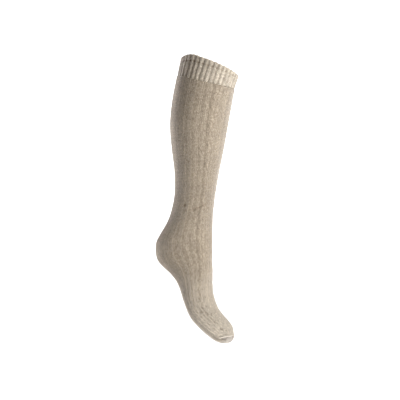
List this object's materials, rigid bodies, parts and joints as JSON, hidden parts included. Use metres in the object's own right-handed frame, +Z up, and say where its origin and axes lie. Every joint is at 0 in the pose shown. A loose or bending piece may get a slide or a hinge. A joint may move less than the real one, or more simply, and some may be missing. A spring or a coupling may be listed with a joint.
{
  "type": "knitted knee sock",
  "caption": "Knee-high knitted sock with a ribbed cuff and raised cable columns, kept in the form it has when worn on tiptoe, hollow inside.",
  "frame": {"origin": "middle of the leg opening, between the rim's front and back", "axes": "+X towards the toes, -Y the outer side of the leg, +Z up towards the knee"},
  "size_m": [0.1807, 0.1072, 0.5721],
  "materials": {
    "cuff_knit": "matt cream ribbed knit, heathered",
    "sock_knit": "matt oatmeal knit, heathered, with a short nap"
  },
  "bodies": {
    "root": {"cuff": "cuff_knit", "leg": "sock_knit", "heel": "sock_knit", "foot": "sock_knit", "toe": "sock_knit", "toe_seam": "sock_knit"}
  },
  "joints": []
}
